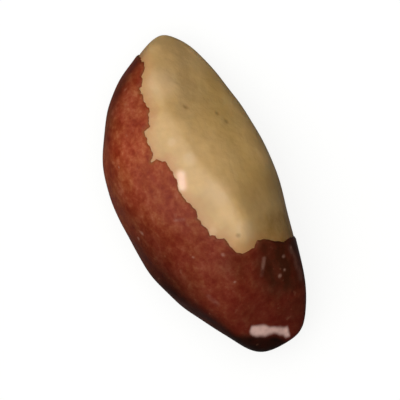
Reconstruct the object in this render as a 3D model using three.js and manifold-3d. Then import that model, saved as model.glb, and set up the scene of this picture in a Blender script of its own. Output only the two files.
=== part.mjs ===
// A shelled Brazil nut kernel with part of its brown skin still on.
// Millimetres. +X runs from the pointed end to the blunt end, +Y points to the bare side,
// +Z is up. The origin is at the middle of the nut's box, on the flat spot that it rests on.

import * as THREE from 'three';
import Module from 'manifold-3d';
import { mergeVertices } from 'three/addons/utils/BufferGeometryUtils.js';

// Size of the whole nut
const LENGTH = 36.4;
const WIDTH = 17.9;
const HEIGHT = 13.7;

// How far the round underside is pressed flat where the nut rests
const FLAT_DEPTH = 0.25;

// The kernel is a rounded solid with broad, slightly bulging faces. Each face has the compass
// direction and the tilt of its outward normal in degrees, its distance from the middle, and
// the radius of its bulge along the nut and across it. The faces at the ridge along the top
// meet in a crisper line than the others.
const FACES = [
  { name: 'ridge band', atRidge: true, azimuth: -96, tilt: 78.5, distance: 7.27, along: 24, across: 54 },
  { name: 'bare side', atRidge: true, azimuth: 116.5, tilt: 52.5, distance: 7.79, along: 82.5, across: 29 },
  { name: 'blunt cheek', atRidge: true, azimuth: 28.5, tilt: 54.5, distance: 9.27, along: 139.5, across: 69 },
  { name: 'brown side', azimuth: -73.5, tilt: 46, distance: 7.93, along: 94, across: 24 },
  { name: 'brown flank', azimuth: -86, tilt: 18.5, distance: 8.38, along: 90.5, across: 22.5 },
  { name: 'tip shoulder', azimuth: -115.5, tilt: 14.5, distance: 10.71, along: 83.5, across: 12.5 },
  { name: 'tip facet', azimuth: -143.5, tilt: 11.5, distance: 14.27, along: 68, across: 24.5 },
  { name: 'tip cheek', azimuth: 94.5, tilt: -4, distance: 9.32, along: 109.5, across: 25.5 },
  { name: 'blunt shoulder', azimuth: -61.5, tilt: 8, distance: 10.24, along: 126, across: 18.5 },
  { name: 'blunt end', azimuth: -6.5, tilt: 5, distance: 18.05, along: 54, across: 26.5 },
  { name: 'bare flank', azimuth: 81, tilt: -6, distance: 8.89, along: 198.5, across: 5.5 },
  { name: 'underside', azimuth: 90, tilt: -90, distance: 6.05, along: 63.5, across: 36.5 },
  { name: 'brown underside', azimuth: -90, tilt: -48.5, distance: 9.02, along: 39.5, across: 15 },
];

// A face whose normal has more than this share of its length along the nut is an end face, and
// its bulge is measured along +Y instead
const END_FACE = 0.86;

// How sharply the faces meet, per mm: higher is sharper
const EDGE_SHARPNESS = 1.7;
const RIDGE_SHARPNESS = 3.6;

// Grid cells along the nut, across it and up it
const CELLS = { x: 52, y: 24, z: 20 };

// Wavy patterns: height, length of a wave and starting phase. Shallow swellings and dents of
// the surface, and the ragged wander of the skin's torn edge
const SWELLING = { height: 0.06, length: 9, start: 0.4 };
const DENTS = { height: 0.04, length: 4, start: 2.9 };
const TEARING = { height: 0.28, length: 2.6, start: 1.7 };

// The skin stands this far above the bare kernel, and its torn edge rises over this width
const SKIN_THICKNESS = 0.16;
const SKIN_EDGE = 0.7;

// The torn edge of the skin seen from above: the kernel is bare on the +Y side of it
const SKIN_EDGE_ABOVE = [
  [-16.95, 0.3], [-15.95, 0.25], [-15.2, -0.2], [-14.45, -0.5], [-13.95, -1.15], [-12.3, -1.2],
  [-11.5, -1.2], [-9.95, -1.95], [-9.45, -2.55], [-6.05, -3.1], [-5.55, -1.7], [-3.6, -1.5],
  [-2.3, -1.7], [0.6, -1.05], [2.1, -0.95], [3.6, -0.55], [4.35, 0], [4.65, 0.6], [6.5, 1.25],
  [6.9, 1.75], [6.85, 2.45], [6.8, 3.1], [6.3, 3.7], [6.6, 4.6], [7.1, 5.55], [7.55, 6.3],
  [7.5, 7.2], [7.8, 8.6],
];

// The torn edge on the underside, also seen from above
const SKIN_EDGE_BELOW = [
  [-17.0, 0.2], [-15.4, 1.3], [-13.6, 0.9], [-12.1, 2.5], [-9.9, 2.1], [-8.2, 3.4], [-5.6, 2.7],
  [-3.2, 4.4], [-0.9, 3.7], [1.4, 4.8], [4.2, 4.1], [6.1, 5.5], [7.6, 5.9], [8.4, 8.6],
];

// The bare part reaches past the outline to here, on the +Y side and past the pointed end
const BARE_LIMIT = [[8.4, 14], [-24, 14], [-24, -1.5]];

// Between these heights below the middle, the edge above gives way to the edge below
const TURN_TOP = 0;
const TURN_BOTTOM = -2.6;

// The edge above is drawn finely, so it takes only this share of the ragged wander
const TEARING_ABOVE = 0.4;

const KERNEL_COLOUR = new THREE.Color('#d9bf92');
const SKIN_COLOUR = new THREE.Color('#7a3424');

// A smooth wavy pattern's value at a point: five plane waves in spread directions
function wave(point, { height, length, start }) {
  const GOLDEN_TURN = Math.PI * (3 - Math.sqrt(5));
  const WAVES = 5;
  let sum = 0;
  for (let i = 0; i < WAVES; i += 1) {
    const z = 1 - (2 * i + 1) / WAVES;
    const ring = Math.sqrt(1 - z * z);
    const turn = GOLDEN_TURN * i + start;
    const distance = point.x * ring * Math.cos(turn) + point.y * ring * Math.sin(turn) + point.z * z;
    sum += Math.sin((2 * Math.PI * distance) / length + start * (i + 1));
  }
  return (height * sum) / Math.sqrt(WAVES);
}

// The face's outward normal and its directions along and across the nut
function faceAxes(face) {
  const azimuth = THREE.MathUtils.degToRad(face.azimuth);
  const tilt = THREE.MathUtils.degToRad(face.tilt);
  const normal = new THREE.Vector3(
    Math.cos(tilt) * Math.cos(azimuth),
    Math.cos(tilt) * Math.sin(azimuth),
    Math.sin(tilt),
  );
  const lengthwise = new THREE.Vector3(1, 0, 0).addScaledVector(normal, -normal.x);
  if (Math.abs(normal.x) > END_FACE) {
    lengthwise.set(0, 1, 0).addScaledVector(normal, -normal.y);
  }
  lengthwise.normalize();
  return { normal, lengthwise, crosswise: new THREE.Vector3().crossVectors(normal, lengthwise) };
}

const faces = FACES.map((face) => ({ ...face, ...faceAxes(face) }));
const ridgeFaces = faces.filter((face) => face.atRidge);
const otherFaces = faces.filter((face) => !face.atRidge);

// How far the point at this distance in a direction lies outside a face, and how fast that grows
function riseAbove(face, direction, distance) {
  const bulge = direction.dot(face.lengthwise) ** 2 / (2 * face.along)
    + direction.dot(face.crosswise) ** 2 / (2 * face.across);
  const rise = direction.dot(face.normal);
  return {
    value: bulge * distance ** 2 + rise * distance - face.distance,
    slope: 2 * bulge * distance + rise,
  };
}

// A smooth stand-in for the term with the highest value
function softMaximum(terms, sharpness) {
  const highest = Math.max(...terms.map((term) => term.value));
  const weights = terms.map((term) => Math.exp(sharpness * (term.value - highest)));
  const total = weights.reduce((sum, weight) => sum + weight, 0);
  return {
    value: highest + Math.log(total) / sharpness,
    slope: terms.reduce((sum, term, i) => sum + weights[i] * term.slope, 0) / total,
  };
}

// Distance from the middle to the kernel's surface in a direction: the rounded outer limit of
// all faces, found by Newton's steps from outside
function reach(direction) {
  const STEPS = 24;
  let distance = LENGTH;
  for (let step = 0; step < STEPS; step += 1) {
    const rises = (group) => group.map((face) => riseAbove(face, direction, distance));
    const ridge = softMaximum(rises(ridgeFaces), RIDGE_SHARPNESS);
    const limit = softMaximum([ridge, ...rises(otherFaces)], EDGE_SHARPNESS);
    distance -= limit.value / limit.slope;
  }
  return distance;
}

// Distance of a point from a closed outline, positive inside it
function depthInside(outline, x, y) {
  let nearest = Infinity;
  let inside = false;
  outline.forEach(([x1, y1], i) => {
    const [x2, y2] = outline[(i + 1) % outline.length];
    const dx = x2 - x1;
    const dy = y2 - y1;
    const along = ((x - x1) * dx + (y - y1) * dy) / (dx * dx + dy * dy);
    const t = THREE.MathUtils.clamp(along, 0, 1);
    nearest = Math.min(nearest, Math.hypot(x - x1 - t * dx, y - y1 - t * dy));
    if ((y1 > y) !== (y2 > y) && x < x1 + ((y - y1) * dx) / dy) {
      inside = !inside;
    }
  });
  return inside ? nearest : -nearest;
}

const bareAbove = [...SKIN_EDGE_ABOVE, ...BARE_LIMIT];
const bareBelow = [...SKIN_EDGE_BELOW, ...BARE_LIMIT];

// How far a point of the surface lies inside the bare part, negative under the skin
function bareDepth(point) {
  const above = depthInside(bareAbove, point.x, point.y);
  const below = depthInside(bareBelow, point.x, point.y);
  const turn = THREE.MathUtils.smoothstep(point.z, TURN_BOTTOM, TURN_TOP);
  const wander = wave(point, TEARING) * THREE.MathUtils.lerp(1, TEARING_ABOVE, turn);
  return THREE.MathUtils.lerp(below, above, turn) + wander;
}

// 1 on bare kernel and 0 on skin, easing over the width of the torn edge
function bareness(point) {
  return THREE.MathUtils.smoothstep(bareDepth(point), -SKIN_EDGE / 2, SKIN_EDGE / 2);
}

// Height of the surface above the smooth kernel: swellings, dents and the skin
function relief(point) {
  return wave(point, SWELLING) + wave(point, DENTS) + SKIN_THICKNESS * (1 - bareness(point));
}

// A box grid blown up to the kernel's surface, so that its cells are even all over
function kernelSurface() {
  const box = new THREE.BoxGeometry(2, 2, 2, CELLS.x, CELLS.y, CELLS.z);
  box.deleteAttribute('normal');
  box.deleteAttribute('uv');
  const geometry = mergeVertices(box);
  const position = geometry.attributes.position;
  const stretch = new THREE.Vector3(LENGTH, WIDTH, HEIGHT);
  const cube = new THREE.Vector3();
  const direction = new THREE.Vector3();
  for (let i = 0; i < position.count; i += 1) {
    cube.fromBufferAttribute(position, i);
    const { x, y, z } = cube;
    direction.set(
      x * Math.sqrt(1 - (y * y + z * z) / 2 + (y * y * z * z) / 3),
      y * Math.sqrt(1 - (z * z + x * x) / 2 + (z * z * x * x) / 3),
      z * Math.sqrt(1 - (x * x + y * y) / 2 + (x * x * y * y) / 3),
    );
    direction.multiply(stretch).normalize();
    const point = direction.clone().multiplyScalar(reach(direction));
    point.addScaledVector(direction, relief(point));
    position.setXYZ(i, point.x, point.y, point.z);
  }
  return geometry;
}

// Brings the nut to its size, with its underside FLAT_DEPTH below the surface it rests on
function toSize(geometry) {
  geometry.computeBoundingBox();
  const { min, max } = geometry.boundingBox;
  geometry.translate(-(min.x + max.x) / 2, -(min.y + max.y) / 2, -min.z);
  geometry.scale(
    LENGTH / (max.x - min.x),
    WIDTH / (max.y - min.y),
    (HEIGHT + FLAT_DEPTH) / (max.z - min.z),
  );
  return geometry.translate(0, 0, -FLAT_DEPTH);
}

const wasm = await Module();
wasm.setup();

function toSolid(geometry) {
  return new wasm.Manifold(new wasm.Mesh({
    numProp: 3,
    vertProperties: new Float32Array(geometry.attributes.position.array),
    triVerts: new Uint32Array(geometry.index.array),
  }));
}

// Cuts away what lies below the resting surface, which leaves the flat spot
function cutFlat(geometry) {
  const under = new THREE.BoxGeometry(2 * LENGTH, 2 * WIDTH, HEIGHT);
  under.translate(0, 0, -HEIGHT / 2);
  under.deleteAttribute('normal');
  under.deleteAttribute('uv');
  const mesh = toSolid(geometry).subtract(toSolid(mergeVertices(under))).getMesh();
  const cut = new THREE.BufferGeometry();
  cut.setAttribute('position', new THREE.BufferAttribute(mesh.vertProperties, 3));
  cut.setIndex(new THREE.BufferAttribute(mesh.triVerts, 1));
  return cut;
}

// Colours each vertex as skin or bare kernel
function colourSkin(geometry) {
  const position = geometry.attributes.position;
  const colours = new Float32Array(position.count * 3);
  const point = new THREE.Vector3();
  const underside = FACES.find((face) => face.name === 'underside');
  const middleHeight = underside.distance + SKIN_THICKNESS - FLAT_DEPTH;
  for (let i = 0; i < position.count; i += 1) {
    point.fromBufferAttribute(position, i);
    point.z -= middleHeight;
    SKIN_COLOUR.clone().lerp(KERNEL_COLOUR, bareness(point)).toArray(colours, i * 3);
  }
  geometry.setAttribute('color', new THREE.BufferAttribute(colours, 3));
  geometry.computeVertexNormals();
  return geometry;
}

const kernel = new THREE.Mesh(
  colourSkin(cutFlat(toSize(kernelSurface()))),
  new THREE.MeshStandardMaterial({ vertexColors: true, roughness: 0.5, metalness: 0 }),
);
kernel.name = 'kernel';

const brazilNut = new THREE.Group();
brazilNut.name = 'brazil_nut';
brazilNut.add(kernel);

export default brazilNut;
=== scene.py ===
"""Looks of the shelled Brazil nut kernel: waxy cream flesh under a torn red-brown skin.

Shape values are in millimetres from the kernel's middle, as in the model's source: +X runs from
the pointed end to the blunt end, +Y points to the bare side and +Z is up. to_frame() brings them
into the frame. Meshes, lights and the camera are in metres.
"""
import math

import bpy
import numpy as np
from mathutils import Matrix, Vector


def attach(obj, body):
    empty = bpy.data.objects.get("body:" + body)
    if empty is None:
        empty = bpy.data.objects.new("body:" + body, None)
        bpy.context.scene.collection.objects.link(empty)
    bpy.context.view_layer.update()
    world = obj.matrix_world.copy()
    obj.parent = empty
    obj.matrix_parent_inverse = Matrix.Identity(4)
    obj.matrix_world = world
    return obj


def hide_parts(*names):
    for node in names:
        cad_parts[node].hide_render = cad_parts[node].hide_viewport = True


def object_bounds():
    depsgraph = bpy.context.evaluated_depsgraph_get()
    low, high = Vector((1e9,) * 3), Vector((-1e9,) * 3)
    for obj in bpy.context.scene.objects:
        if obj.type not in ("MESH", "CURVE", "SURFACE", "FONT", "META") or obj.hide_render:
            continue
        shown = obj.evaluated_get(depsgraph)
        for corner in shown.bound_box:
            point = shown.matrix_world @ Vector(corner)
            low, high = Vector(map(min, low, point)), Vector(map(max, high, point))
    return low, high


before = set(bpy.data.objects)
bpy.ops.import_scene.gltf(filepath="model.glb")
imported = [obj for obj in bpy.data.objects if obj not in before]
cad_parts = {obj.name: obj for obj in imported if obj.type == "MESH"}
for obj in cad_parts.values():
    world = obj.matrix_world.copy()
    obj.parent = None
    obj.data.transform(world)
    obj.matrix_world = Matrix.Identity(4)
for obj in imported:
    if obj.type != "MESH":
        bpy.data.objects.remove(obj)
cad_low, cad_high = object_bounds()

MM = 0.001
NODE = "kernel"
BODY = "root"
FLESH_SLOT = "kernel"
SKIN_SLOT = "skin"

# The kernel's broad faces: compass direction and tilt of the outward normal in degrees, distance
# from the middle, and the radius of the bulge along the nut and across it. The first faces, at
# the ridge along the top, meet in a crisper line than the others.
RIDGE_FACES = {
    "ridge band": (-96, 78.5, 7.27, 24, 54),
    "bare side": (116.5, 52.5, 7.79, 82.5, 29),
    "blunt cheek": (28.5, 54.5, 9.27, 139.5, 69),
}
OTHER_FACES = {
    "brown side": (-73.5, 46, 7.93, 94, 24),
    "brown flank": (-86, 18.5, 8.38, 90.5, 22.5),
    "tip shoulder": (-115.5, 14.5, 10.71, 83.5, 12.5),
    "tip facet": (-143.5, 11.5, 14.27, 68, 24.5),
    "tip cheek": (94.5, -4, 9.32, 109.5, 25.5),
    "blunt shoulder": (-61.5, 8, 10.24, 126, 18.5),
    "blunt end": (-6.5, 5, 18.05, 54, 26.5),
    "bare flank": (81, -6, 8.89, 198.5, 5.5),
    "underside": (90, -90, 6.05, 63.5, 36.5),
    "brown underside": (-90, -48.5, 9.02, 39.5, 15),
}
FACES = list(RIDGE_FACES.values()) + list(OTHER_FACES.values())

# A face whose normal has more than this share of its length along the nut is an end face, and
# its bulge is measured along +Y instead
END_FACE = 0.86

# How sharply the faces meet, per mm: higher is sharper
EDGE_SHARPNESS = 1.7
RIDGE_SHARPNESS = 3.6

# Newton's steps to the surface, and how far from the middle they start, well outside it
STEPS = 24
START_REACH = 36.0

# How far the round underside is pressed flat where the nut rests, the height over which it eases
# into the flat spot, and the heights of that spot on the flesh and on the skin's two sides
FLAT_DEPTH = 0.25
FLAT_EASING = 0.03
FLESH_REST = 0.1
INNER_REST = 0.06
OUTER_REST = 0

# Wavy patterns: height, length of a wave and starting phase
SWELLING = (0.06, 9, 0.4)
DENTS = (0.04, 4, 2.9)
TEARING = (0.28, 2.6, 1.7)
FINE_TEARING = ((0.09, 0.95, 2.3), (0.06, 0.5, 3.3), (0.02, 0.25, 4.3))
EDGE_LIFT = (0.05, 3.4, 4.1)
SCUFF_WANDER = (0.05, 0.8, 5)

# The skin's thickness, and the width that its torn edge rises over in the model
SKIN_THICKNESS = 0.16
SKIN_EDGE = 0.7

# The torn edges, both seen from above: the kernel is bare on the +Y side of them
SKIN_EDGE_ABOVE = [
    (-16.95, 0.3), (-15.95, 0.25), (-15.2, -0.2), (-14.45, -0.5), (-13.95, -1.15),
    (-12.3, -1.2), (-11.5, -1.2), (-9.95, -1.95), (-9.45, -2.55), (-6.05, -3.1), (-5.55, -1.7),
    (-3.6, -1.5), (-2.3, -1.7), (0.6, -1.05), (2.1, -0.95), (3.6, -0.55), (4.35, 0),
    (4.65, 0.6), (6.5, 1.25), (6.9, 1.75), (6.85, 2.45), (6.8, 3.1), (6.3, 3.7), (6.6, 4.6),
    (7.1, 5.55), (7.55, 6.3), (7.5, 7.2), (7.8, 8.6),
]
SKIN_EDGE_BELOW = [
    (-17.0, 0.2), (-15.4, 1.3), (-13.6, 0.9), (-12.1, 2.5), (-9.9, 2.1), (-8.2, 3.4), (-5.6, 2.7),
    (-3.2, 4.4), (-0.9, 3.7), (1.4, 4.8), (4.2, 4.1), (6.1, 5.5), (7.6, 5.9), (8.4, 8.6),
]

# The bare part reaches past the outline to here, on the +Y side and past the pointed end
BARE_LIMIT = [(8.4, 14), (-24, 14), (-24, -1.5)]

# Between these heights, the edge above gives way to the edge below
TURN_TOP, TURN_BOTTOM = 0, -2.6

# The edge above is drawn finely, so it takes only this share of the ragged wander
TEARING_ABOVE = 0.4

# Between these places along the nut, the fine tearing loses this share of its height
CALM_START, CALM_END = 3.5, 5
CALM_SHARE = 0.6

# At the torn edge the skin has this share of its thickness, which grows to the whole over a
# width, and it lifts by up to a height that fades over a width
EDGE_SHARE = 0.4
EDGE_ROUNDING = 0.3
MOST_LIFT = 0.1
LIFT_WIDTH = 0.5

# How far the skin's inner side sinks into the flesh, and the angle between its faces, in
# degrees, past which their edge is a crease
INNER_SINK = 0.05
CREASE_ANGLE = 48

# Grid cells along, across and up: the flesh, the skin, and the grid that finds the nut's box.
# The flesh and the skin each stay under 200,000 triangles.
FLESH_CELLS = (214, 104, 84)
SKIN_CELLS = (184, 91, 74)
FIT_CELLS = (88, 42, 34)

# The corners of a cell in turn, on the low and on the high end of an axis
LOW_TURN = ((0, 0), (0, 1), (1, 1), (1, 0))
HIGH_TURN = ((0, 0), (1, 0), (1, 1), (0, 1))

# A cut nearer than this share of a cell's edge to its end moves to the end
SNAP = 0.2

# Marks, all placed as seen from above. Small dark pits in the flesh and pale specks on the skin,
# partly flecks and partly painted glints: x, y and radius.
PITS = [(-10.1, 2.7, 0.46), (-8.0, 5.4, 0.4), (-6.8, 6.0, 0.44), (4.9, 2.1, 0.4)]
SPECKS_AND_GLINTS = [
    (6.15, -0.15, 0.3), (5.1, -3.35, 0.2), (0.45, -7.15, 0.36), (0.85, -7.7, 0.34),
    (10.7, 4.3, 0.34), (8.95, 5.6, 0.3), (10.3, 5.0, 0.22), (8.5, 6.6, 0.3), (9.3, -0.3, 0.2),
    (-7.0, -6.6, 0.18),
]

# Brown stains on the flesh, pale places on it that are painted sheen, and dark places on the
# skin:
# x, y, radius and strength
STAINS = [(6.6, 6.6, 4.6, 1), (2.4, 6.6, 4, 0.5), (0.9, -0.4, 2.6, 0.3), (3.9, 0.8, 1.8, 0.25)]
PAINTED_SHEEN_SPOTS = [
    (-13.4, 1.2, 2.4, 1), (-7.15, -0.35, 0.7, 1), (-4.7, 0.7, 1.1, 1), (-0.2, 1.9, 2.2, 0.7),
    (3.5, -0.2, 0.7, 1), (4.8, 3.0, 1.7, 1),
]
DARK_SKIN = [(8.6, 5.4, 4.2, 1), (10.4, 5.0, 4.2, 1), (15.6, 5.0, 3.6, 0.6), (7.6, 0.6, 2.4, 0.3)]

# A glint on the flesh, and pale streaks on the skin, partly flecks and partly painted reflection:
# x and y of both ends, radius and strength
GLINTS = [(-3.45, -0.85, -2.4, -1.2, 1.1, 1)]
STREAKS_AND_REFLECTIONS = [
    (8.3, 3.6, 9.8, 2.55, 0.36, 0.6), (8.4, 6.6, 11.8, 6.35, 0.6, 0.3),
    (9.7, -3.3, 10.8, -2.9, 0.45, 0.3), (0.7, -3.3, 1.05, -2.5, 0.3, 0.4),
]

# Outlines of the pale scuff on the skin's blunt end, partly a scraped patch and partly a painted
# highlight, and of the painted shade beside it
SCUFF = [
    (14.55, -0.6), (15.0, 0.6), (15.65, 1.45), (16.3, 2.85), (17.3, 2.7), (17.15, 2.25),
    (16.6, 1.8), (16.2, 1.3), (16.15, 0.7), (15.95, -0.1), (15.45, -0.9), (14.9, -1.05),
]
UNDER_SCUFF = [
    (14.4, -3.6), (15.0, -1.6), (16.1, 0.3), (16.6, 1.5), (17.3, 2.1), (19, 2.8), (19, -4),
]

# A mark is even in the middle, out to this share of its radius: large spots, then dots and
# streaks
SPOT_CORE = 0.3
STREAK_CORE = 0.1

# Large spots fade out between these heights
SPOT_TOP, SPOT_BOTTOM = 1, -3

# Depth of the pits and of the scuff, the half width of the scuff's soft edge and its lowest point
PIT_DEPTH = 0.05
SCUFF_DEPTH = 0.04
SCUFF_BLUR = 0.2
SCUFF_BOTTOM = -2.5

# Painted shade and painted light on the bare side near the pointed end, which fade out between
# two places along the nut. The flesh is painted duller by a share past a line, given by its y at
# three places along the nut, and brighter by another share further down the side, between two
# places across the nut.
TIP_START, TIP_END = -12, -7
DULL_PLACES = (-16, -13, -10)
DULL_STARTS = (3.4, 2.2, 1.0)
DULL_WIDTH = 1.5
DULL_SHARE = 0.22
BRIGHT_START, BRIGHT_END = 4.0, 6.5
BRIGHT_SHARE = 0.26

# Painted shade: the skin's colour is darkened on the brown side's shoulder, where it turns down
# to the underside and shade falls. Ranges of the unit normal say where: the painted shade sets in
# as its upward part falls through the first, on the side where its part away from the bare side
# grows through the second, and it is milder by a share where its downward part has grown through
# the third.
SHOULDER = (0.35, 0.88)
BROWN_SIDE = (-0.2, 0.3)
SHOULDER_BELOW = (-0.4, 0.3)
SHOULDER_MILDER = 0.62

# How dark the painted shade on that shoulder is at these places along the nut
SHOULDER_PLACES = (-15, -11, -9, -1, 3, 8)
SHOULDER_DARKNESS = (0.7, 0.5, 0.15, 0.15, 0.7, 1.0)

# The painted shade beside the scuff sets in over this range of depth inside its outline, and is
# milder by a share where the normal's downward part has grown through a range
UNDER_SCUFF_EDGE = (-0.4, 0.5)
UNDER_SCUFF_BELOW = (-0.3, 0.3)
UNDER_SCUFF_MILDER = 0.75


def wave(points, pattern):
    """A smooth wavy pattern's values: five plane waves in spread directions."""
    height, length, start = pattern
    golden_turn = math.pi * (3 - math.sqrt(5))
    waves = 5
    total = np.zeros(len(points))
    for i in range(waves):
        z = 1 - (2 * i + 1) / waves
        ring = math.sqrt(1 - z * z)
        turn = golden_turn * i + start
        distance = points @ (ring * math.cos(turn), ring * math.sin(turn), z)
        total += np.sin(2 * math.pi * distance / length + start * (i + 1))
    return height * total / math.sqrt(waves)


def smoothstep(values, low, high):
    t = np.clip((values - low) / (high - low), 0, 1)
    return t * t * (3 - 2 * t)


def unit(vectors):
    return vectors / np.linalg.norm(vectors, axis=-1, keepdims=True)


def face_axes(azimuth, tilt):
    """A face's outward normal and its directions along and across the nut."""
    a, t = math.radians(azimuth), math.radians(tilt)
    normal = np.array([math.cos(t) * math.cos(a), math.cos(t) * math.sin(a), math.sin(t)])
    along = np.array([1.0, 0, 0]) - normal[0] * normal
    if abs(normal[0]) > END_FACE:
        along = np.array([0, 1.0, 0]) - normal[1] * normal
    along = unit(along)
    return normal, along, np.cross(normal, along)


AXES = [face_axes(azimuth, tilt) for azimuth, tilt, *_ in FACES]
NORMALS, ALONG, ACROSS = (np.array(vectors) for vectors in zip(*AXES))
DISTANCES, ALONG_RADII, ACROSS_RADII = np.array([row[2:] for row in FACES]).T


def soft_maximum(values, sharpness):
    """A smooth stand-in for each row's highest value, and each value's share in it."""
    highest = values.max(axis=1, keepdims=True)
    weights = np.exp(sharpness * (values - highest))
    total = weights.sum(axis=1, keepdims=True)
    return highest + np.log(total) / sharpness, weights / total


def outer_limit(values):
    """The rounded outer limit of all faces, and each face's share in it."""
    count = len(RIDGE_FACES)
    ridge, ridge_shares = soft_maximum(values[:, :count], RIDGE_SHARPNESS)
    limit, shares = soft_maximum(np.hstack([ridge, values[:, count:]]), EDGE_SHARPNESS)
    return limit[:, 0], np.hstack([ridge_shares * shares[:, :1], shares[:, 1:]])


def smooth_kernel(directions):
    """Points of the smooth kernel in these directions from its middle, and their normals."""
    bulge = (directions @ ALONG.T) ** 2 / (2 * ALONG_RADII)
    bulge += (directions @ ACROSS.T) ** 2 / (2 * ACROSS_RADII)
    rise = directions @ NORMALS.T
    reach = np.full(len(directions), START_REACH)
    for _ in range(STEPS):
        values = bulge * reach[:, None] ** 2 + rise * reach[:, None] - DISTANCES
        limit, shares = outer_limit(values)
        slopes = 2 * bulge * reach[:, None] + rise
        reach = reach - limit / (shares * slopes).sum(axis=1)
    points = directions * reach[:, None]
    normals = shares @ NORMALS
    normals += (shares * (points @ ALONG.T) / ALONG_RADII) @ ALONG
    normals += (shares * (points @ ACROSS.T) / ACROSS_RADII) @ ACROSS
    return points, unit(normals)


def depth_inside(outline, points):
    """Distance from a closed outline seen from above, positive inside it."""
    x, y = points[:, 0], points[:, 1]
    nearest = np.full(len(points), np.inf)
    inside = np.zeros(len(points), bool)
    for (x1, y1), (x2, y2) in zip(outline, outline[1:] + outline[:1]):
        dx, dy = x2 - x1, y2 - y1
        t = np.clip(((x - x1) * dx + (y - y1) * dy) / (dx * dx + dy * dy), 0, 1)
        nearest = np.minimum(nearest, np.hypot(x - x1 - t * dx, y - y1 - t * dy))
        if dy:
            inside ^= ((y1 > y) != (y2 > y)) & (x < x1 + (y - y1) * dx / dy)
    return np.where(inside, nearest, -nearest)


def bare_depth(points):
    """How far each point lies inside the bare part, negative under the skin."""
    above = depth_inside(SKIN_EDGE_ABOVE + BARE_LIMIT, points)
    below = depth_inside(SKIN_EDGE_BELOW + BARE_LIMIT, points)
    turn = smoothstep(points[:, 2], TURN_BOTTOM, TURN_TOP)
    wander = wave(points, TEARING) * (1 + (TEARING_ABOVE - 1) * turn)
    return below + (above - below) * turn + wander


def fine_bare_depth(points):
    """As bare_depth with a finely ragged edge, smoother at the blunt end of the bare part."""
    ragged = 1 - CALM_SHARE * smoothstep(points[:, 0], CALM_START, CALM_END)
    return bare_depth(points) + ragged * sum(wave(points, pattern) for pattern in FINE_TEARING)


def swells(points):
    """Height of the bare surface above the smooth kernel."""
    return wave(points, SWELLING) + wave(points, DENTS)


def box_grid(cells):
    """Directions and four-cornered cells of a box grid blown up to a rounded surface."""
    corners = []
    for axis in range(3):
        u_axis, v_axis = (axis + 1) % 3, (axis + 2) % 3
        u, v = np.meshgrid(np.arange(cells[u_axis]), np.arange(cells[v_axis]), indexing="ij")
        for end, turn in ((0, LOW_TURN), (cells[axis], HIGH_TURN)):
            quad = np.zeros((u.size, 4, 3), int)
            quad[:, :, axis] = end
            for corner, (du, dv) in enumerate(turn):
                quad[:, corner, u_axis] = u.ravel() + du
                quad[:, corner, v_axis] = v.ravel() + dv
            corners.append(quad)
    corners = np.concatenate(corners)
    places, index = np.unique(corners.reshape(-1, 3), axis=0, return_inverse=True)
    x, y, z = (2 * places / np.array(cells) - 1).T
    ball = np.stack([
        x * np.sqrt(1 - (y * y + z * z) / 2 + y * y * z * z / 3),
        y * np.sqrt(1 - (z * z + x * x) / 2 + z * z * x * x / 3),
        z * np.sqrt(1 - (x * x + y * y) / 2 + x * x * y * y / 3),
    ], axis=1)
    stretch = np.array(cad_high - cad_low)
    return unit(ball * stretch), index.reshape(-1, 4)


def frame_fit():
    """Scale and shift that bring shape values into the model's own box, in metres."""
    directions, _ = box_grid(FIT_CELLS)
    points, normals = smooth_kernel(directions)
    skin = 1 - smoothstep(bare_depth(points), -SKIN_EDGE / 2, SKIN_EDGE / 2)
    surface = points + normals * (swells(points) + SKIN_THICKNESS * skin)[:, None]
    low, high = surface.min(axis=0), surface.max(axis=0)
    target_low = np.array(cad_low) - (0, 0, FLAT_DEPTH * MM)
    scale = (np.array(cad_high) - target_low) / (high - low)
    return scale, target_low - low * scale


FIT_SCALE, FIT_SHIFT = frame_fit()


def to_frame(points, rest_height):
    """The points' places in the frame, with the underside eased flat at rest_height, in mm."""
    placed = points * FIT_SCALE + FIT_SHIFT
    rise = placed[:, 2] - rest_height * MM
    easing = FLAT_EASING * MM
    placed[:, 2] = rest_height * MM + (rise + np.sqrt(rise * rise + easing * easing)) / 2
    return placed


def patch(points, spots):
    """Each spot's strength seen from above, fading to 0 at its radius and to the underside."""
    found = np.zeros(len(points))
    for x, y, radius, strength in spots:
        distance = np.hypot(points[:, 0] - x, points[:, 1] - y)
        faded = 1 - smoothstep(distance, SPOT_CORE * radius, radius)
        found = np.maximum(found, strength * faded)
    return found * smoothstep(points[:, 2], SPOT_BOTTOM, SPOT_TOP)


def upper_point(points, x, y):
    """The point of the upper side nearest to this place seen from above."""
    upper = points[points[:, 2] > 0]
    return upper[np.argmin(np.hypot(upper[:, 0] - x, upper[:, 1] - y))]


def streaks(points, lines):
    """Each line's strength from (x1, y1) to (x2, y2), fading to 0 at its radius on any slope."""
    found = np.zeros(len(points))
    for x1, y1, x2, y2, radius, strength in lines:
        start = upper_point(points, x1, y1)
        line = upper_point(points, x2, y2) - start
        length_squared = line @ line
        share = np.zeros(len(points))
        if length_squared > 0:
            share = np.clip((points - start) @ line / length_squared, 0, 1)
        distance = np.linalg.norm(points - start - share[:, None] * line, axis=1)
        faded = 1 - smoothstep(distance, STREAK_CORE * radius, radius)
        found = np.maximum(found, strength * faded)
    return found


def dots(points, spots):
    """1 at each small spot, round on any slope and fading to 0 at its radius."""
    return streaks(points, [(x, y, x, y, radius, 1) for x, y, radius in spots])


def make_object(name, vertices, polygons, values):
    """A smooth mesh object with one number per vertex for each named value."""
    mesh = bpy.data.meshes.new(name)
    mesh.from_pydata(vertices.tolist(), [], polygons.tolist())
    for key, numbers in values.items():
        attribute = mesh.attributes.new(key, "FLOAT", "POINT")
        attribute.data.foreach_set("value", numbers.astype(np.float32))
    mesh.polygons.foreach_set("use_smooth", np.ones(len(mesh.polygons), bool))
    mesh.update()
    obj = bpy.data.objects.new(name, mesh)
    bpy.context.scene.collection.objects.link(obj)
    return obj


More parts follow.
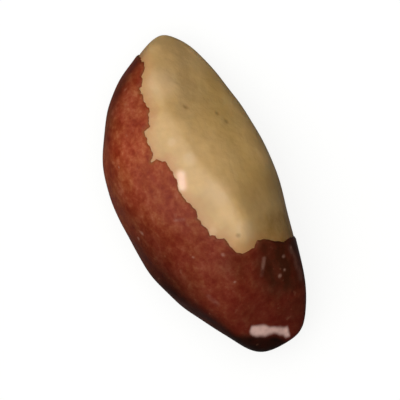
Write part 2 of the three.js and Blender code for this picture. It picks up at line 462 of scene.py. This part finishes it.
def painted_tip_shading(points):
    """Painted shade and light on the bare side near the pointed end: duller by the ridge,
    brighter low.
    """
    tip = 1 - smoothstep(points[:, 0], TIP_START, TIP_END)
    start = np.interp(points[:, 0], DULL_PLACES, DULL_STARTS)
    dull = smoothstep(points[:, 1], start, start + DULL_WIDTH)
    bright = smoothstep(points[:, 1], BRIGHT_START, BRIGHT_END)
    return 1 + tip * (BRIGHT_SHARE * bright - DULL_SHARE * dull)


def make_flesh():
    """The whole kernel without its skin, with small pits."""
    directions, quads = box_grid(FLESH_CELLS)
    points, normals = smooth_kernel(directions)
    pits = dots(points, PITS)
    surface = points + normals * (swells(points) - PIT_DEPTH * pits)[:, None]
    values = {
        "bare_depth": fine_bare_depth(points),
        "pit": pits,
        # painted shade and light near the pointed end
        "tip_light_and_shade": painted_tip_shading(points),
        "stain": patch(points, STAINS),
        # the pale places are painted sheen
        "pale": patch(points, PAINTED_SHEEN_SPOTS),
        "glint": streaks(points, GLINTS),
    }
    return make_object("flesh", to_frame(surface, FLESH_REST), quads, values)


def triangles_of(quads):
    return np.concatenate([quads[:, [0, 1, 2]], quads[:, [0, 2, 3]]])


def edges_of(triangles):
    """Each triangle's three directed edges."""
    return np.concatenate([triangles[:, [0, 1]], triangles[:, [1, 2]], triangles[:, [2, 0]]])


def rim_of(triangles):
    """Directed edges that belong to one triangle only."""
    edges = edges_of(triangles)
    size = triangles.max() + 1
    forward = edges[:, 0] * size + edges[:, 1]
    backward = edges[:, 1] * size + edges[:, 0]
    return edges[~np.isin(forward, backward)]


def snap_to_cut(triangles, depth):
    """The depths, with 0 at the points that lie very near the cut at depth 0."""
    edges = edges_of(triangles)
    start, end = depth[edges[:, 0]], depth[edges[:, 1]]
    crossing = (start < 0) != (end < 0)
    share = start / np.where(crossing, start - end, 1)
    snapped = depth.copy()
    snapped[edges[crossing & (share < SNAP), 0]] = 0
    snapped[edges[crossing & (share > 1 - SNAP), 1]] = 0
    return snapped


def clip_to_skin(directions, triangles, depth):
    """Cuts a grid at depth 0 and keeps the skin side: its directions and triangles."""
    depth = snap_to_cut(triangles, depth)
    side = np.sign(depth[triangles])
    whole = (side.max(axis=1) <= 0) & (side.min(axis=1) < 0)
    mixed = triangles[(side.max(axis=1) > 0) & (side.min(axis=1) < 0)]
    kept = [tuple(t) for t in triangles[whole]]
    added, where = [], {}

    def cut(a, b):
        """The index of the point where the edge from a to b crosses the cut."""
        key = (min(a, b), max(a, b))
        if key not in where:
            t = depth[key[0]] / (depth[key[0]] - depth[key[1]])
            where[key] = len(directions) + len(added)
            added.append(directions[key[0]] * (1 - t) + directions[key[1]] * t)
        return where[key]

    for triangle in mixed:
        ring = []
        for a, b in zip(triangle, np.roll(triangle, -1)):
            if depth[a] <= 0:
                ring.append(a)
            if depth[a] * depth[b] < 0:
                ring.append(cut(a, b))
        kept += [(ring[0], ring[i], ring[i + 1]) for i in range(1, len(ring) - 1)]
    directions = unit(np.concatenate([directions, np.array(added)]))
    used, index = np.unique(np.array(kept), return_inverse=True)
    return directions[used], index.reshape(-1, 3)


def shell_faces(triangles, count):
    """Faces of an outer layer of count points, its inner copy and the walls between them."""
    a, b = rim_of(triangles).T
    walls = np.concatenate([
        np.stack([b, a, a + count], axis=1),
        np.stack([b, a + count, b + count], axis=1),
    ])
    return np.concatenate([triangles, triangles[:, ::-1] + count, walls])


def scuffed(points):
    """1 on the scuff, partly scraped and partly a painted highlight, with a soft uneven edge."""
    depth = depth_inside(SCUFF, points) + wave(points, SCUFF_WANDER)
    return smoothstep(depth, -SCUFF_BLUR, SCUFF_BLUR) * (points[:, 2] > SCUFF_BOTTOM)


def painted_shoulder_shade(points, normals):
    """Painted shade on the skin where it turns down to the underside on the brown side."""
    darkness = 1 - smoothstep(normals[:, 2], *SHOULDER)
    darkness *= smoothstep(-normals[:, 1], *BROWN_SIDE)
    darkness *= 1 - SHOULDER_MILDER * smoothstep(-normals[:, 2], *SHOULDER_BELOW)
    return darkness * np.interp(points[:, 0], SHOULDER_PLACES, SHOULDER_DARKNESS)


def painted_shade_beside_scuff(points, normals):
    """Painted shade on the skin beside the scuff."""
    darkness = smoothstep(depth_inside(UNDER_SCUFF, points), *UNDER_SCUFF_EDGE)
    return darkness * (1 - UNDER_SCUFF_MILDER * smoothstep(-normals[:, 2], *UNDER_SCUFF_BELOW))


def make_skin():
    """A thin closed shell over the flesh, with a ragged edge that lifts a little."""
    directions, quads = box_grid(SKIN_CELLS)
    points, _ = smooth_kernel(directions)
    directions, triangles = clip_to_skin(directions, triangles_of(quads), fine_bare_depth(points))
    points, normals = smooth_kernel(directions)
    inside = np.maximum(-fine_bare_depth(points), 0)
    scuff = scuffed(points)
    lift = np.clip(wave(points, EDGE_LIFT), 0, MOST_LIFT) * np.exp(-inside / LIFT_WIDTH)
    base = swells(points) + lift
    growth = EDGE_SHARE + (1 - EDGE_SHARE) * smoothstep(inside, 0, EDGE_ROUNDING)
    thickness = SKIN_THICKNESS * growth
    outer = points + normals * (base + thickness - SCUFF_DEPTH * scuff)[:, None]
    inner = points + normals * (base - INNER_SINK)[:, None]
    vertices = np.concatenate([to_frame(outer, OUTER_REST), to_frame(inner, INNER_REST)])
    marks = {
        "inside": inside,
        "dark": patch(points, DARK_SKIN),
        # painted shade on the brown side's shoulder
        "shoulder": painted_shoulder_shade(points, normals),
        # painted shade beside the scuff
        "scuff_side_shade": painted_shade_beside_scuff(points, normals),
        # the scuff, partly a painted highlight
        "scuff": scuff,
        # pale specks and streaks, partly painted glints and reflection
        "speck_and_glint": np.maximum(dots(points, SPECKS_AND_GLINTS), streaks(points, STREAKS_AND_REFLECTIONS)),
    }
    values = {name: np.tile(numbers, 2) for name, numbers in marks.items()}
    skin = make_object("skin", vertices, shell_faces(triangles, len(points)), values)
    skin.data.set_sharp_from_angle(angle=math.radians(CREASE_ANGLE))
    return skin


def new_material(name):
    """A new material, its node tree and its surface shader."""
    material = bpy.data.materials.new(name)
    material.use_nodes = True
    tree = material.node_tree
    return material, tree, tree.nodes["Principled BSDF"]


def noise(tree, scale, detail, roughness, stretch=(1, 1, 1)):
    """A noise pattern fixed to the nut, with scale cells per metre."""
    coordinates = tree.nodes.new("ShaderNodeTexCoord")
    mapping = tree.nodes.new("ShaderNodeMapping")
    mapping.inputs["Scale"].default_value = stretch
    pattern = tree.nodes.new("ShaderNodeTexNoise")
    pattern.inputs["Scale"].default_value = scale
    pattern.inputs["Detail"].default_value = detail
    pattern.inputs["Roughness"].default_value = roughness
    tree.links.new(coordinates.outputs["Object"], mapping.inputs["Vector"])
    tree.links.new(mapping.outputs["Vector"], pattern.inputs["Vector"])
    return pattern.outputs["Fac"]


def coordinate(tree, kind, axis):
    """One axis of a kind of texture coordinates."""
    coordinates = tree.nodes.new("ShaderNodeTexCoord")
    split = tree.nodes.new("ShaderNodeSeparateXYZ")
    tree.links.new(coordinates.outputs[kind], split.inputs["Vector"])
    return split.outputs[axis]


def value_of(tree, name):
    """A mesh's number per vertex."""
    node = tree.nodes.new("ShaderNodeAttribute")
    node.attribute_name = name
    return node.outputs["Fac"]


def ramp(tree, source, stops):
    """Colours by value: stops are (position, linear red, green, blue)."""
    node = tree.nodes.new("ShaderNodeValToRGB")
    elements = node.color_ramp.elements
    while len(elements) < len(stops):
        elements.new(0.5)
    for element, (position, *colour) in zip(elements, stops):
        element.position = position
        element.color = (*colour, 1)
    tree.links.new(source, node.inputs["Fac"])
    return node.outputs["Color"]


def greys(tree, source, stops):
    """Numbers by value: stops are (position, number)."""
    return ramp(tree, source, [(position, number, number, number) for position, number in stops])


def remap(tree, source, span, result):
    """Carries a value from one range to another, both (first, last), and stops at their ends."""
    node = tree.nodes.new("ShaderNodeMapRange")
    node.inputs["From Min"].default_value, node.inputs["From Max"].default_value = span
    node.inputs["To Min"].default_value, node.inputs["To Max"].default_value = result
    tree.links.new(source, node.inputs["Value"])
    return node.outputs["Result"]


def mix(tree, amount, first, second, blend="MIX"):
    """Mixes two colours, each a socket or linear red, green and blue."""
    node = tree.nodes.new("ShaderNodeMix")
    node.data_type = "RGBA"
    node.blend_type = blend
    slots = {"Factor": node.inputs[0], "A": node.inputs[6], "B": node.inputs[7]}
    for key, value in (("Factor", amount), ("A", first), ("B", second)):
        if isinstance(value, bpy.types.NodeSocket):
            tree.links.new(value, slots[key])
        elif key == "Factor":
            slots[key].default_value = value
        else:
            slots[key].default_value = (*value, 1)
    return node.outputs[2]


def tint(tree, colour, factors):
    """A colour multiplied by the factors for red, green and blue."""
    return mix(tree, 1.0, colour, factors, "MULTIPLY")


def combine(tree, operation, first, second):
    """Arithmetic on two values, each a socket or a number."""
    node = tree.nodes.new("ShaderNodeMath")
    node.operation = operation
    for socket, value in zip(node.inputs, (first, second)):
        if isinstance(value, bpy.types.NodeSocket):
            tree.links.new(value, socket)
        else:
            socket.default_value = value
    return node.outputs["Value"]


def times(tree, first, second):
    return combine(tree, "MULTIPLY", first, second)


def add(tree, first, second):
    return combine(tree, "ADD", first, second)


def bump(tree, height, distance, strength):
    node = tree.nodes.new("ShaderNodeBump")
    node.inputs["Strength"].default_value = strength
    node.inputs["Distance"].default_value = distance
    tree.links.new(height, node.inputs["Height"])
    return node.outputs["Normal"]


# Linear colours of the flesh far from the skin, partly painted shade, of its rim beside the skin,
# and of its marks
FAR_FLESH_AND_SHADE = (0.47, 0.28, 0.068)
FLESH_RIM = (0.52, 0.235, 0.095)
# Painted sheen on the flesh
PAINTED_SHEEN_COLOUR = (0.78, 0.56, 0.34)
STAIN_COLOUR = (0.29, 0.15, 0.032)
GLINT_COLOUR = (0.95, 0.63, 0.44)
PIT_COLOUR = (0.24, 0.12, 0.035)


def flesh_colour(tree, clouds, lumps):
    """Cream flesh, faintly blotched, warmer by the skin and yellower far from it, partly painted
    shade.
    """
    blotches = noise(tree, scale=190, detail=3, roughness=0.55)
    depth = value_of(tree, "bare_depth")
    colour = ramp(tree, blotches, [
        (0.30, 0.54, 0.335, 0.125),
        (0.50, 0.60, 0.380, 0.152),
        (0.72, 0.66, 0.430, 0.190),
    ])
    colour = tint(tree, colour, ramp(tree, clouds, [
        (0.35, 0.93, 0.92, 0.90),
        (0.65, 1.03, 1.03, 1.03),
    ]))
    # Painted shade and light near the pointed end
    colour = tint(tree, colour, value_of(tree, "tip_light_and_shade"))
    # Darker and yellower far from the skin, down the bare side: partly painted shade
    colour = mix(tree, remap(tree, depth, (4.0, 8.0), (0.0, 0.6)), colour, FAR_FLESH_AND_SHADE)
    rim = remap(tree, depth, (0.0, 1.4), (0.85, 0.0))
    rim = times(tree, rim, remap(tree, lumps, (0.3, 0.6), (0.6, 1.0)))
    return mix(tree, rim, colour, FLESH_RIM)


def mark_flesh(tree, colour, clouds, lumps):
    """Painted sheen in pale places, stains, the glint and the pits over the flesh's colour."""
    # Painted sheen in the pale places
    colour = mix(tree, times(tree, value_of(tree, "pale"), 0.3), colour, PAINTED_SHEEN_COLOUR)
    stain = times(tree, value_of(tree, "stain"), remap(tree, clouds, (0.35, 0.65), (0.5, 0.9)))
    colour = mix(tree, stain, colour, STAIN_COLOUR)
    glint = value_of(tree, "glint")
    glint = times(tree, times(tree, glint, glint), remap(tree, lumps, (0.35, 0.6), (0.7, 1.0)))
    colour = mix(tree, glint, colour, GLINT_COLOUR)
    return mix(tree, times(tree, value_of(tree, "pit"), 0.5), colour, PIT_COLOUR)


def flesh_material():
    """Waxy flesh with soft lumps and a fine grain."""
    material, tree, shader = new_material("flesh")
    lumps = noise(tree, scale=430, detail=2, roughness=0.5)
    clouds = noise(tree, scale=900, detail=4, roughness=0.6)
    grain = noise(tree, scale=3600, detail=3, roughness=0.6)
    colour = mark_flesh(tree, flesh_colour(tree, clouds, lumps), clouds, lumps)
    fine_relief = times(tree, add(tree, clouds, times(tree, grain, 0.3)), 0.12)
    normal = bump(tree, add(tree, lumps, fine_relief), distance=0.00024, strength=0.7)
    roughness = remap(tree, clouds, (0.3, 0.7), (0.38, 0.48))
    tree.links.new(colour, shader.inputs["Base Color"])
    tree.links.new(roughness, shader.inputs["Roughness"])
    tree.links.new(normal, shader.inputs["Normal"])
    shader.inputs["Subsurface Weight"].default_value = 0.3
    shader.inputs["Subsurface Radius"].default_value = (1.0, 0.55, 0.25)
    shader.inputs["Subsurface Scale"].default_value = 0.0010
    shader.inputs["Specular IOR Level"].default_value = 0.5
    return material


# Linear colours of the skin at its torn edge and dark places, of painted shade, and of its pale
# marks
TORN_EDGE = (0.24, 0.085, 0.022)
BLUNT_END = (0.088, 0.008, 0.006)
DARK_PLACE = (0.040, 0.009, 0.003)
# Painted shade on the brown side's shoulder
PAINTED_SHOULDER_SHADE = (0.020, 0.003, 0.001)
# Painted shade beside the scuff
PAINTED_SHADE_BY_SCUFF = (0.012, 0.004, 0.002)
# Pale specks and streaks, partly painted glints and reflection
SPECK_AND_GLINT_COLOUR = (0.50, 0.27, 0.20)
FLECK_COLOUR = (0.42, 0.19, 0.11)
# The pale scuff is partly a scraped patch and partly a painted highlight
SCUFF_AND_HIGHLIGHT_COLOUR = (0.84, 0.54, 0.46)

# The skin darkens to the blunt end, and a little at the pointed one: how much at shares of the
# way between two places along the nut, in metres
DARKENING_SPAN = (-0.016, 0.018)
DARKENING = [(0.06, 0.16), (0.24, 0.0), (0.38, 0.24), (0.53, 0.44), (0.82, 0.68), (0.94, 0.80)]


def skin_colour(tree, blotches, mottle, patches, grain):
    """Red-brown skin, mottled orange and crimson, browner at its torn edge."""
    colour = ramp(tree, mottle, [
        (0.34, 0.250, 0.034, 0.010),
        (0.50, 0.330, 0.064, 0.021),
        (0.66, 0.410, 0.110, 0.042),
    ])
    colour = tint(tree, colour, ramp(tree, blotches, [
        (0.32, 0.93, 0.90, 0.91),
        (0.66, 1.03, 1.03, 1.03),
    ]))
    colour = tint(tree, colour, ramp(tree, patches, [
        (0.38, 0.98, 0.86, 0.97),
        (0.60, 1.00, 1.03, 0.99),
    ]))
    colour = tint(tree, colour, ramp(tree, grain, [
        (0.34, 0.83, 0.65, 0.54),
        (0.50, 0.98, 0.96, 0.94),
        (0.66, 1.17, 1.44, 1.66),
    ]))
    edge = remap(tree, value_of(tree, "inside"), (0.0, 0.35), (0.9, 0.0))
    edge = times(tree, edge, remap(tree, mottle, (0.4, 0.6), (0.35, 1.0)))
    return mix(tree, edge, colour, TORN_EDGE)


def darken_skin(tree, colour, blotches, patches):
    """Darkens the skin to its ends and in dark places, and paints shade on the shoulder and by
    the scuff.
    """
    lengthwise = remap(tree, coordinate(tree, "Object", "X"), DARKENING_SPAN, (0.0, 1.0))
    colour = mix(tree, greys(tree, lengthwise, DARKENING), colour, BLUNT_END)
    dark = times(tree, value_of(tree, "dark"), remap(tree, patches, (0.4, 0.6), (0.66, 0.92)))
    colour = mix(tree, dark, colour, DARK_PLACE)
    uneven = remap(tree, blotches, (0.3, 0.6), (0.62, 1.0))
    # Painted shade on the shoulder, made uneven
    colour = mix(tree, times(tree, value_of(tree, "shoulder"), uneven), colour, PAINTED_SHOULDER_SHADE)
    # Painted shade beside the scuff, made uneven
    return mix(tree, times(tree, value_of(tree, "scuff_side_shade"), uneven), colour, PAINTED_SHADE_BY_SCUFF)


def mark_skin(tree, colour, mottle):
    """Pale specks and streaks, partly painted glints and reflection, fine flecks, and the scuff,
    partly a painted highlight, over the skin's colour.
    """
    # Specks and streaks, partly painted glints and reflection
    speck_and_glint = times(tree, value_of(tree, "speck_and_glint"), remap(tree, mottle, (0.38, 0.58), (0.1, 0.55)))
    colour = mix(tree, speck_and_glint, colour, SPECK_AND_GLINT_COLOUR)
    flecks = noise(tree, scale=1100, detail=2, roughness=0.5)
    colour = mix(tree, remap(tree, flecks, (0.68, 0.80), (0.0, 0.25)), colour, FLECK_COLOUR)
    # The scuff, partly a painted highlight
    scuff = times(tree, value_of(tree, "scuff"), remap(tree, mottle, (0.35, 0.6), (0.75, 1.0)))
    return mix(tree, scuff, colour, SCUFF_AND_HIGHLIGHT_COLOUR)


def skin_material():
    """Satin skin with a fine uneven grain."""
    material, tree, shader = new_material("skin")
    blotches = noise(tree, scale=240, detail=3, roughness=0.6)
    mottle = noise(tree, scale=720, detail=4, roughness=0.6)
    patches = noise(tree, scale=420, detail=2, roughness=0.5, stretch=(1, 2, 1))
    grain = noise(tree, scale=1700, detail=4, roughness=0.65)
    colour = skin_colour(tree, blotches, mottle, patches, grain)
    colour = darken_skin(tree, colour, blotches, patches)
    colour = mark_skin(tree, colour, mottle)
    relief = add(tree, mottle, times(tree, grain, 0.4))
    normal = bump(tree, relief, distance=0.00008, strength=0.7)
    roughness = remap(tree, mottle, (0.3, 0.7), (0.36, 0.55))
    tree.links.new(colour, shader.inputs["Base Color"])
    tree.links.new(roughness, shader.inputs["Roughness"])
    tree.links.new(normal, shader.inputs["Normal"])
    shader.inputs["Specular IOR Level"].default_value = 0.1
    return material


# The camera looks straight down. In its picture the nut's +X axis points down and to the right,
# this far below the horizontal.
AXIS_ANGLE = math.radians(65.87)
PICTURE_RIGHT = Vector((math.cos(AXIS_ANGLE), math.sin(AXIS_ANGLE), 0))
PICTURE_UP = Vector((-math.sin(AXIS_ANGLE), math.cos(AXIS_ANGLE), 0))

# How many metres the picture shows across, and the camera's focal length and sensor in mm
PICTURE_WIDTH = 0.0435
LENS, SENSOR = 400, 36


def make_camera():
    data = bpy.data.cameras.new("camera")
    data.lens = LENS
    data.sensor_width = SENSOR
    data.clip_start, data.clip_end = 0.01, 5
    camera = bpy.data.objects.new("camera", data)
    middle = (cad_low + cad_high) / 2
    distance = PICTURE_WIDTH * LENS / SENSOR
    turn = Matrix((PICTURE_RIGHT, PICTURE_UP, Vector((0, 0, 1)))).transposed().to_4x4()
    camera.matrix_world = Matrix.Translation(middle + Vector((0, 0, distance))) @ turn
    bpy.context.scene.collection.objects.link(camera)
    bpy.context.scene.camera = camera


# One very broad soft light overhead: its compass direction, height and width in degrees
LIGHT_AZIMUTH, LIGHT_HEIGHT = -131, 73
LIGHT_ANGLE = 84
LIGHT_ENERGY = 3.2


def make_key_light():
    data = bpy.data.lights.new("key", "SUN")
    data.angle = math.radians(LIGHT_ANGLE)
    data.energy = LIGHT_ENERGY
    light = bpy.data.objects.new("key", data)
    azimuth, height = math.radians(LIGHT_AZIMUTH), math.radians(LIGHT_HEIGHT)
    direction = Vector((
        math.cos(height) * math.cos(azimuth),
        math.cos(height) * math.sin(azimuth),
        math.sin(height),
    ))
    light.rotation_mode = "QUATERNION"
    light.rotation_quaternion = direction.to_track_quat("Z", "Y")
    bpy.context.scene.collection.objects.link(light)


# Faint light from all round, the most of it from below, as off a pale table: shares of the way
# from straight down to straight up, and the light's colour there
SURROUNDING_LIGHT = [
    (0.0, 0.16, 0.155, 0.15),
    (0.40, 0.03, 0.03, 0.03),
    (1.0, 0.02, 0.02, 0.02),
]
BACKDROP = (1.0, 1.0, 0.995)


def make_world():
    """The faint light from all round, and the plain pale backdrop that the camera sees."""
    world = bpy.data.worlds.new("studio")
    bpy.context.scene.world = world
    world.use_nodes = True
    tree = world.node_tree
    height = remap(tree, coordinate(tree, "Generated", "Z"), (-1, 1), (0, 1))
    path = tree.nodes.new("ShaderNodeLightPath")
    light = ramp(tree, height, SURROUNDING_LIGHT)
    seen = mix(tree, path.outputs["Is Camera Ray"], light, BACKDROP)
    tree.links.new(seen, tree.nodes["Background"].inputs["Color"])


# The floor's half width in metres, its colour, and its own glow, which keeps it evenly pale
FLOOR_REACH = 2.0
FLOOR_COLOUR = (0.16, 0.16, 0.16)
FLOOR_GLOW_COLOUR = (1, 1, 0.99)
FLOOR_GLOW = 0.85


def make_floor():
    """A plain pale floor that takes the nut's shadow, but neither lights nor shades the nut."""
    mesh = bpy.data.meshes.new("floor")
    turns = [(-1, -1), (1, -1), (1, 1), (-1, 1)]
    corners = [(x * FLOOR_REACH, y * FLOOR_REACH, 0) for x, y in turns]
    mesh.from_pydata(corners, [], [(0, 1, 2, 3)])
    floor = bpy.data.objects.new("floor", mesh)
    bpy.context.scene.collection.objects.link(floor)
    material, _, shader = new_material("floor")
    shader.inputs["Base Color"].default_value = (*FLOOR_COLOUR, 1)
    shader.inputs["Roughness"].default_value = 0.9
    shader.inputs["Specular IOR Level"].default_value = 0.1
    shader.inputs["Emission Color"].default_value = (*FLOOR_GLOW_COLOUR, 1)
    shader.inputs["Emission Strength"].default_value = FLOOR_GLOW
    mesh.materials.append(material)
    floor.visible_diffuse = False
    floor.visible_glossy = False
    floor.visible_shadow = False


make_camera()
make_world()
make_floor()
make_key_light()

flesh = make_flesh()
flesh.data.materials.append(flesh_material())
skin = make_skin()
skin.data.materials.append(skin_material())
for piece, slot in ((flesh, FLESH_SLOT), (skin, SKIN_SLOT)):
    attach(piece, BODY)
    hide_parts(NODE)

bpy.context.scene.view_settings.view_transform = "Standard"
